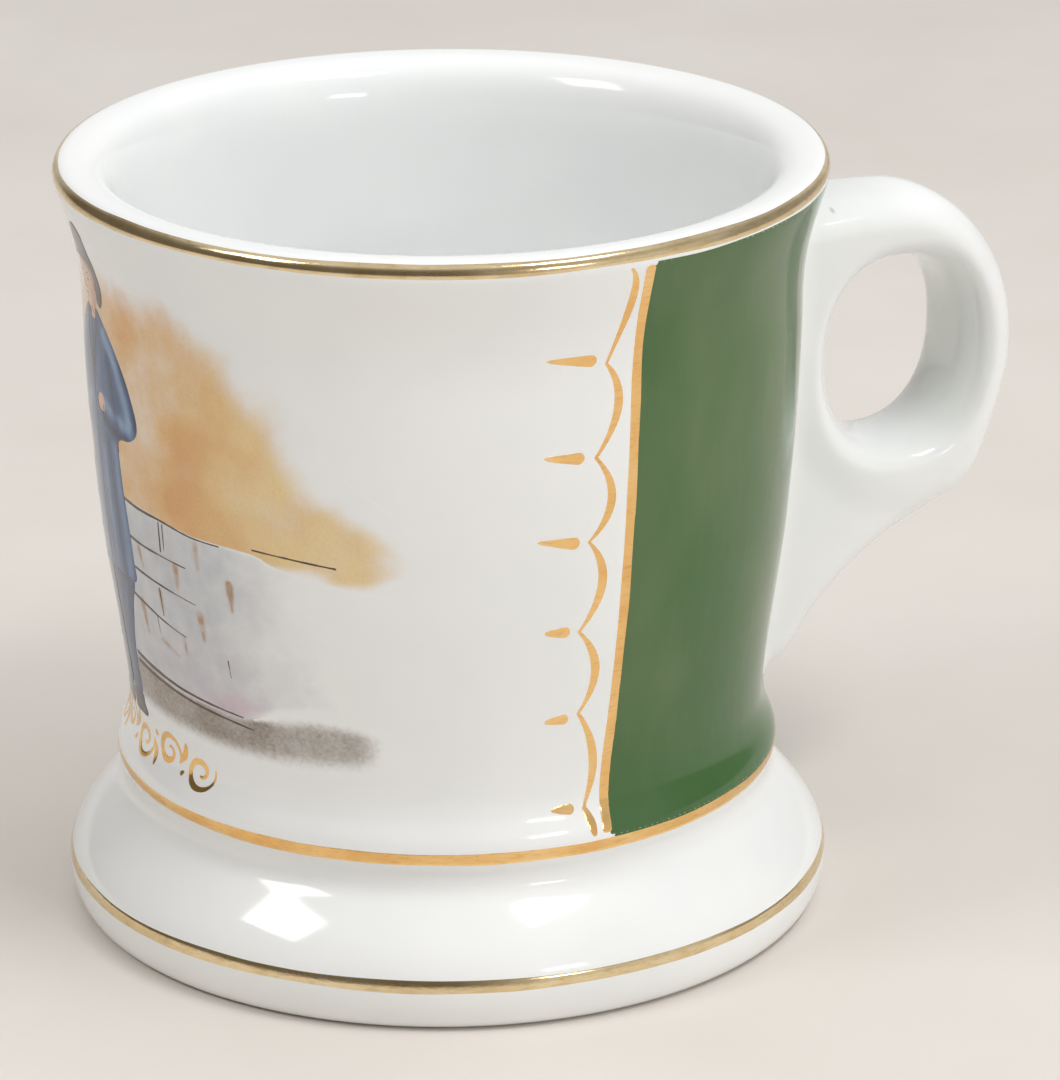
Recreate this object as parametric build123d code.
from build123d import *
import math
import os

# Shaving mug with a ring handle, a spreading hollow foot and fired-on decoration.
# Millimetres, +Z up. The origin is the centre of the foot's resting ring, on the table plane.
# The handle points along +X, and the painted picture faces -X.

# ---- Driving dimensions ----
RIM_RADIUS = 45.0            # outside radius at the gilded rim
FOOT_RADIUS = 45.7           # widest radius of the spreading foot
WAIST_RADIUS = 37.95         # narrowest radius, just above the foot
ENAMEL_THICKNESS = 0.12      # fired decoration stands this proud of the glaze

# The outside, from the resting ring up to the lip's crest, as cubic curves of (radius, height).
FOOT_EDGE = [(43.0, 0.0), (44.9, 0.0), (FOOT_RADIUS, 2.4), (FOOT_RADIUS, 5.0)]
FOOT_SHOULDER = [(FOOT_RADIUS, 5.0), (FOOT_RADIUS, 7.9), (42.4, 11.4), (40.4, 13.4)]
FOOT_CREASE = [(40.4, 13.4), (39.5, 14.3), (38.75, 15.2), (38.75, 16.6)]
COLLAR_RISE = [(38.75, 16.6), (38.75, 17.9), (39.6, 18.1), (39.6, 19.6)]
COLLAR_TOP = [(39.6, 19.6), (39.6, 21.6), (WAIST_RADIUS, 22.6), (WAIST_RADIUS, 25.4)]
SIDE_LOWER = [(WAIST_RADIUS, 25.4), (WAIST_RADIUS, 30.5), (40.13, 42.0), (40.75, 49.0)]
SIDE_UPPER = [(40.75, 49.0), (41.37, 56.0), (42.15, 66.0), (42.15, 74.0)]
FLARE = [(42.15, 74.0), (42.15, 81.5), (43.6, 84.6), (RIM_RADIUS, 89.4)]
RIM_EDGE = [(RIM_RADIUS, 89.4), (45.32, 90.5), (45.15, 92.0), (43.3, 92.0)]
FOOT = [FOOT_EDGE, FOOT_SHOULDER, FOOT_CREASE, COLLAR_RISE]
DECORATED_SIDE = [COLLAR_TOP, SIDE_LOWER, SIDE_UPPER, FLARE]
OUTSIDE = FOOT + DECORATED_SIDE + [RIM_EDGE]
BISECTIONS = 40              # halvings when a height is looked up on the side, far below a micrometre

# The inside of the cup, from the lip's crest down to the middle of the floor.
LIP = [(43.3, 92.0), (40.6, 92.0), (38.0, 91.4), (37.6, 84.0)]
INNER_WALL = [(37.6, 84.0), (37.1, 73.0), (37.3, 48.0), (34.8, 34.0)]
FLOOR_CORNER = [(34.8, 34.0), (33.9, 28.96), (31.0, 24.6), (24.0, 24.0)]
FLOOR = [(24.0, 24.0), (17.0, 23.4), (8.0, 23.4), (0.0, 23.4)]
INSIDE = [LIP, INNER_WALL, FLOOR_CORNER, FLOOR]

# The hollow under the foot, from its flat ceiling out to the resting ring.
RECESS_CEILING = 18.2
RECESS_FLAT_RADIUS = 18.0
RECESS_CORNER = [(RECESS_FLAT_RADIUS, RECESS_CEILING), (24.0, 18.2), (28.4, 17.98), (31.0, 16.4)]
RECESS_WALL = [(31.0, 16.4), (36.6, 13.0), (37.7, 8.0), (38.1, 2.6)]
RECESS_EDGE = [(38.1, 2.6), (38.2, 1.2), (38.4, 0.0), (39.6, 0.0)]
RECESS = [RECESS_CORNER, RECESS_WALL, RECESS_EDGE]

# Handle: an oval ring, a level thumb platform above it and a spur below it.
RING_CENTRE = (57.9, 60.5)
RING_HALF_WIDTH, RING_HALF_HEIGHT = 16.6, 20.1
HOLE_HALF_WIDTH, HOLE_HALF_HEIGHT = 9.2, 11.3
RING_HALF_THICKNESS = 8.0
RING_ROUNDING = 3.4
PLATFORM_DEPTH = 14.0        # height of the platform's side where it meets the cup
ROOT_RADIUS = 36.0           # handle pieces start inside the cup's wall, and are cut back to it
SPUR_HALF_THICKNESS = 6.4
SPUR_ROUNDING = 2.8
SPUR_CORNER_RADIUS = 3.6
SPUR_BACK_TOP = (73.6, 55.0)
SPUR_CORNER = (69.4, 41.4)
SPUR_SWEEP = [(62.9, 39.1), (56.7, 35.9), (51.6, 32.2), (47.4, 27.9), (44.6, 23.6)]
SPUR_BOTTOM = 21.0

# Gilded lines round the mug, each the stretch of one outside curve between two of its parameters.
RIM_BAND = (0.20, 0.76)      # on RIM_EDGE
WAIST_BAND = (0.50, 1.00)    # on COLLAR_RISE
FOOT_BAND = (0.025, 0.18)    # on FOOT_SHOULDER

# Green panel around the handle, between two gold stripes.
STRIPE_ANGLE_TOP = 83.4      # degrees each way from the handle, at the rim
STRIPE_LEAN = 2.9            # degrees that the stripe has moved away from the handle at the waist
STRIPE_TOP, STRIPE_BOTTOM = 89.0, 20.2
STRIPE_WIDTH = 1.35
PANEL_TOP = 88.6
STRIPE_STEPS = 6
CUTTER_REACH = 52.0          # past the widest part of the mug, for drawings pushed out through its side

# Scalloped line and drops beside each stripe: (degrees from the handle, height).
SCALLOP_PLANE = 90.0
SCALLOP_CUSPS = [(86.9, 88.8), (88.8, 78.2), (90.3, 67.2), (91.1, 57.1),
                 (92.2, 46.1), (91.5, 35.6), (89.8, 23.7)]
SCALLOP_SWELL = 2.7          # degrees that each scallop swells towards the stripe
SCALLOP_WIDTH = 0.75
DROP_LENGTHS = [5.8, 4.8, 5.2, 3.3, 3.1, 3.0]
DROP_HALF_THICKNESS = 0.62
DROP_WIDEST = 0.4            # share of a drop's length, from its round end to its widest place
DROP_GAP = 1.7               # degrees from a cusp to its drop

# Picture, as (degrees from the picture's middle, height). Positive is to the viewer's right.
PICTURE_ANGLE = 180.0
SKY_TOP = [(-57, 55.6), (-46, 62.5), (-36, 71.0), (-20, 80.0), (4, 84.5),
           (27, 81.0), (41, 71.5), (48, 63.0), (59, 55.0)]
WALL_TOP = 55.4
WALL_ENDS = (-50.0, 50.0)
GROUND_TOP = 34.6
GROUND_BOTTOM = [(52, 30.5), (30, 29.4), (0, 29.0), (-30, 29.4), (-50, 30.5)]
FIGURE_ANGLE = -6.5          # the standing figure's middle, from the picture's middle
COAT = [(2.6, 77.6), (6.2, 75.4), (10.0, 71.6), (14.6, 66.6), (14.4, 64.6), (9.4, 62.4),
        (8.6, 54.0), (9.0, 45.4), (-8.6, 45.4), (-8.6, 56.0), (-9.0, 62.6), (-13.6, 65.0),
        (-13.2, 67.6), (-8.6, 73.0), (-5.2, 76.0), (-2.6, 77.6)]
TROUSERS = [(6.0, 45.3), (4.6, 36.0), (2.6, 29.9), (-4.0, 29.9), (-5.6, 36.0), (-6.4, 45.3)]
SHOES = [(2.6, 29.8), (4.2, 27.4), (-7.4, 27.4), (-4.0, 29.8)]
HEAD_CENTRE, HEAD_HALF_WIDTH, HEAD_HALF_HEIGHT = (0.0, 80.6), 2.5, 2.9
HAT = [(4.2, 82.8), (2.9, 83.6), (2.7, 86.6), (0.0, 87.6), (-2.7, 86.6), (-2.9, 83.6), (-4.2, 82.8)]
FLOURISH_Z = 24.6
FLOURISH_CURLS = 5
FLOURISH_PITCH = 10.5        # degrees between curls
FLOURISH_RADIUS = 2.3
FLOURISH_WIDTH = 0.7
CURL_STARTS = (20, 200)      # curls open alternately up and down
CURL_SWEEP = 250


def meridian(points):
    """One cubic curve of (radius, height), drawn in the XZ plane."""
    return Bezier(*[(radius, 0, height) for radius, height in points])


def curve_point(points, t):
    """The point at t on a cubic curve."""
    weights = [(1 - t) ** 3, 3 * (1 - t) ** 2 * t, 3 * (1 - t) * t ** 2, t ** 3]
    return tuple(sum(w * p[axis] for w, p in zip(weights, points)) for axis in (0, 1))


def curve_slope(points, t):
    """The rate of change of (radius, height) at t on a cubic curve."""
    weights = [3 * (1 - t) ** 2, 6 * (1 - t) * t, 3 * t ** 2]
    steps = [(b[0] - a[0], b[1] - a[1]) for a, b in zip(points, points[1:])]
    return tuple(sum(w * step[axis] for w, step in zip(weights, steps)) for axis in (0, 1))


def curve_part(points, start, end):
    """The stretch of a cubic curve from start to end, as a cubic curve of its own."""
    first, last = curve_point(points, start), curve_point(points, end)
    leaving, arriving = curve_slope(points, start), curve_slope(points, end)
    third = (end - start) / 3
    second = (first[0] + leaving[0] * third, first[1] + leaving[1] * third)
    before_last = (last[0] - arriving[0] * third, last[1] - arriving[1] * third)
    return [first, second, before_last, last]


def side_radius(height):
    """Outside radius of the decorated side at a height."""
    segment = next((s for s in DECORATED_SIDE if s[0][1] <= height <= s[3][1]), FLARE)
    low, high = 0.0, 1.0
    for _ in range(BISECTIONS):
        middle = (low + high) / 2
        if curve_point(segment, middle)[1] < height:
            low = middle
        else:
            high = middle
    return curve_point(segment, low)[0]


def make_body():
    """Cup, lip and hollow spreading foot, cast in one piece."""
    edges = [meridian(curve) for curve in RECESS]
    edges.append(Line((RECESS[-1][3][0], 0, 0), (FOOT_EDGE[0][0], 0, 0)))
    edges += [meridian(curve) for curve in OUTSIDE + INSIDE]
    edges.append(Line((0, 0, FLOOR[-1][1]), (0, 0, RECESS_CEILING)))
    edges.append(Line((0, 0, RECESS_CEILING), (RECESS_FLAT_RADIUS, 0, RECESS_CEILING)))
    return revolve(Face(Wire(edges)), Axis.Z, 360)


def make_core():
    """Everything inside the cup's outside surface, used to cut other pieces back to it."""
    edges = [meridian(curve) for curve in OUTSIDE]
    top = OUTSIDE[-1][3]
    edges.append(Line((top[0], 0, top[1]), (0, 0, top[1])))
    edges.append(Line((0, 0, top[1]), (0, 0, 0)))
    edges.append(Line((0, 0, 0), (FOOT_EDGE[0][0], 0, 0)))
    return revolve(Face(Wire(edges)), Axis.Z, 360)


def round_over(solid, amount):
    """Round the edges of an extruded plate that lie on its two flat faces."""
    return fillet(solid.edges().filter_by(Axis.Y, reverse=True), amount)


def plate(sketch, half_thickness):
    """A plate in the handle's plane, centred on it."""
    return extrude(Plane.XZ * sketch, half_thickness, both=True)


def make_handle(core):
    """Ring, thumb platform and spur, cast together and luted to the cup."""
    outer = Pos(*RING_CENTRE) * Ellipse(RING_HALF_WIDTH, RING_HALF_HEIGHT)
    platform_length = RING_CENTRE[0] - ROOT_RADIUS
    ring_top = RING_CENTRE[1] + RING_HALF_HEIGHT
    platform = Pos(ROOT_RADIUS + platform_length / 2, ring_top - PLATFORM_DEPTH / 2) * Rectangle(
        platform_length, PLATFORM_DEPTH)
    hole = Pos(*RING_CENTRE) * Ellipse(HOLE_HALF_WIDTH, HOLE_HALF_HEIGHT)
    ring = round_over(plate(outer + platform - hole, RING_HALF_THICKNESS), RING_ROUNDING)

    back = FilletPolyline(SPUR_BACK_TOP, SPUR_CORNER, SPUR_SWEEP[0], radius=SPUR_CORNER_RADIUS)
    sweep = Spline(*SPUR_SWEEP, tangents=[(-2, -1), (-1, -2)])
    foot = Polyline(SPUR_SWEEP[-1], (ROOT_RADIUS, SPUR_BOTTOM), (ROOT_RADIUS, RING_CENTRE[1]), SPUR_BACK_TOP)
    spur = make_face([back, sweep, foot]) - hole
    spur = round_over(plate(spur, SPUR_HALF_THICKNESS), SPUR_ROUNDING)
    return (ring + spur) - core


def make_band(curve, start, end):
    """A gilded line round the mug: an even layer on a stretch of its outside curve, drawn as two halves."""
    middle = (start + end) / 2
    halves = [curve_part(curve, start, middle), curve_part(curve, middle, end)]
    first, last = halves[0][0], halves[1][3]
    dr, dz = last[0] - first[0], last[1] - first[1]
    length = math.hypot(dr, dz)
    out_r, out_z = ENAMEL_THICKNESS * dz / length, -ENAMEL_THICKNESS * dr / length
    surface = [[(r + out_r, z + out_z) for r, z in half] for half in halves]
    edges = [meridian(half) for half in halves + surface]
    for r, z in (first, last):
        edges.append(Line((r, 0, z), (r + out_r, 0, z + out_z)))
    return revolve(Face(Wire(edges)), Axis.Z, 360)


def make_skin():
    """A thin layer over the whole decorated side, from which each decoration is cut."""
    surface = [[(r + ENAMEL_THICKNESS, z) for r, z in curve] for curve in DECORATED_SIDE]
    bottom, top = DECORATED_SIDE[0][0], DECORATED_SIDE[-1][3]
    edges = [meridian(curve) for curve in DECORATED_SIDE + surface]
    edges.append(Line((bottom[0], 0, bottom[1]), (bottom[0] + ENAMEL_THICKNESS, 0, bottom[1])))
    edges.append(Line((top[0], 0, top[1]), (top[0] + ENAMEL_THICKNESS, 0, top[1])))
    return revolve(Face(Wire(edges)), Axis.Z, 360)


def facing(angle):
    """The plane through the mug's axis that faces outwards at an angle, for drawing decoration."""
    turn = math.radians(angle)
    outwards = (math.cos(turn), math.sin(turn), 0)
    sideways = (-math.sin(turn), math.cos(turn), 0)
    return Plane((0, 0, 0), x_dir=sideways, z_dir=outwards)


def flat(offset, height):
    """Where a point lies on the facing plane, from its angle off the plane's middle and its height."""
    return side_radius(height) * math.sin(math.radians(offset)), height


def cut_film(skin, sketch, angle):
    """The part of the skin that lies under a sketch on the facing plane."""
    return skin & extrude(facing(angle) * sketch, CUTTER_REACH)


def outline(points):
    """A closed straight-sided outline on the facing plane."""
    corners = [flat(*point) for point in points]
    return make_face(Polyline(*corners, close=True))


def stripe_angle(height):
    """Degrees from the handle to the stripe's middle at a height."""
    drop = (STRIPE_TOP - height) / (STRIPE_TOP - STRIPE_BOTTOM)
    return STRIPE_ANGLE_TOP + STRIPE_LEAN * drop ** 2


def stripe_edge(side, shift):
    """Points down a stripe, moved by shift millimetres away from the handle, off its own plane."""
    points = []
    for step in range(STRIPE_STEPS + 1):
        height = STRIPE_TOP + (STRIPE_BOTTOM - STRIPE_TOP) * step / STRIPE_STEPS
        offset = stripe_angle(height) - STRIPE_ANGLE_TOP + math.degrees(shift / side_radius(height))
        points.append((side * offset, height))
    return points


def make_stripe(skin, side):
    """A narrow gold stripe down the edge of the green panel."""
    near = stripe_edge(side, -STRIPE_WIDTH / 2)
    far = stripe_edge(side, STRIPE_WIDTH / 2)
    return cut_film(skin, outline(near + far[::-1]), side * STRIPE_ANGLE_TOP)


def make_green_panel(skin, handle):
    """The green ground between the stripes, with the handle's root left out of it."""
    halves = []
    for side in (1, -1):
        points = stripe_edge(side, -STRIPE_WIDTH / 2)
        edge = [flat(offset, min(height, PANEL_TOP)) for offset, height in points]
        beyond = [(-side * CUTTER_REACH, edge[-1][1]), (-side * CUTTER_REACH, PANEL_TOP)]
        film = cut_film(skin, make_face(Polyline(*edge, *beyond, close=True)), side * STRIPE_ANGLE_TOP)
        block = Box(4 * CUTTER_REACH, 2 * CUTTER_REACH, 4 * CUTTER_REACH)
        half_space = Pos(0, side * CUTTER_REACH, 0) * block
        halves.append(film & half_space)
    return (halves[0] + halves[1]) - handle


def scallop_point(side, angle, height):
    """A point of the scalloped line on the facing plane beside the handle."""
    return flat(side * (angle - SCALLOP_PLANE), height)


def make_scallops(skin, side):
    """The scalloped gold line: an arc between each pair of cusps."""
    sketch = Sketch()
    for (angle, height), (next_angle, next_height) in zip(SCALLOP_CUSPS, SCALLOP_CUSPS[1:]):
        start = scallop_point(side, angle, height)
        middle = scallop_point(side, (angle + next_angle) / 2 - SCALLOP_SWELL, (height + next_height) / 2)
        end = scallop_point(side, next_angle, next_height)
        sketch += trace(ThreePointArc(start, middle, end), SCALLOP_WIDTH)
    return cut_film(skin, sketch, side * SCALLOP_PLANE)


def make_drops(skin, side):
    """Six gold drops, one beside each cusp, pointed away from the stripe."""
    sketch = Sketch()
    for (angle, height), length in zip(SCALLOP_CUSPS[1:], DROP_LENGTHS):
        x, y = scallop_point(side, angle + DROP_GAP, height)
        tip = (x + side * length, y)
        widest = x + side * length * DROP_WIDEST
        upper = ThreePointArc((x, y), (widest, y + DROP_HALF_THICKNESS), tip)
        lower = ThreePointArc(tip, (widest, y - DROP_HALF_THICKNESS), (x, y))
        sketch += make_face([upper, lower])
    return cut_film(skin, sketch, side * SCALLOP_PLANE)


def place_figure(points):
    """Points of the figure, moved to where it stands in the picture."""
    return [(offset + FIGURE_ANGLE, height) for offset, height in points]


def make_sky():
    """The sky's outline: one curve over the top, straight along the wall."""
    left, right = WALL_ENDS
    top = Spline(*[flat(*point) for point in SKY_TOP])
    bottom = Polyline(flat(*SKY_TOP[-1]), flat(right, WALL_TOP), flat(left, WALL_TOP), flat(*SKY_TOP[0]))
    return make_face([top, bottom])


def make_picture(skin):
    """The painted scene: sky, wall, ground and a standing figure, each its own enamel."""
    left, right = WALL_ENDS
    head_centre = flat(*place_figure([HEAD_CENTRE])[0])
    coat = outline(place_figure(COAT))
    hat = outline(place_figure(HAT))
    trousers = outline(place_figure(TROUSERS))
    shoes = outline(place_figure(SHOES))
    head = Pos(*head_centre) * Ellipse(HEAD_HALF_WIDTH, HEAD_HALF_HEIGHT) - hat - coat
    figure = coat + hat + trousers + shoes + head
    sky = make_sky() - figure
    wall = outline([(left, WALL_TOP), (right, WALL_TOP), (right, GROUND_TOP), (left, GROUND_TOP)]) - figure
    ground = outline([(left, GROUND_TOP), (right, GROUND_TOP)] + GROUND_BOTTOM) - figure
    sketches = {
        "picture_sky": sky,
        "picture_wall": wall,
        "picture_ground": ground,
        "figure_coat": coat,
        "figure_trousers": trousers,
        "figure_shoes": shoes,
        "figure_head": head,
        "figure_hat": hat,
    }
    return {name: cut_film(skin, sketch, PICTURE_ANGLE) for name, sketch in sketches.items()}


def make_flourish(skin):
    """A gold scroll under the picture: a row of open curls."""
    sketch = Sketch()
    for curl in range(FLOURISH_CURLS):
        offset = (curl - (FLOURISH_CURLS - 1) / 2) * FLOURISH_PITCH
        centre = flat(offset, FLOURISH_Z)
        arc = CenterArc(centre, FLOURISH_RADIUS, CURL_STARTS[curl % 2], CURL_SWEEP)
        sketch += trace(arc, FLOURISH_WIDTH)
    return cut_film(skin, sketch, PICTURE_ANGLE)


def write(name, shape):
    """Save one piece under its node name."""
    shape.label = name
    export_step(shape, f"parts/{name}.step")
    print(name, round(shape.volume, 2))


os.makedirs("parts", exist_ok=True)
core = make_core()
skin = make_skin()
handle = make_handle(core)
pieces = {
    "mug_body": make_body(),
    "handle": handle,
    "rim_gold_band": make_band(RIM_EDGE, *RIM_BAND),
    "waist_gold_band": make_band(COLLAR_RISE, *WAIST_BAND),
    "foot_gold_band": make_band(FOOT_SHOULDER, *FOOT_BAND),
    "green_panel": make_green_panel(skin, handle),
    "panel_stripe_near": make_stripe(skin, -1),
    "panel_stripe_far": make_stripe(skin, 1),
    "scallop_line_near": make_scallops(skin, -1),
    "scallop_line_far": make_scallops(skin, 1),
    "gold_drops_near": make_drops(skin, -1),
    "gold_drops_far": make_drops(skin, 1),
    "gold_flourish": make_flourish(skin),
}
pieces.update(make_picture(skin))
for name, piece in pieces.items():
    write(name, piece)
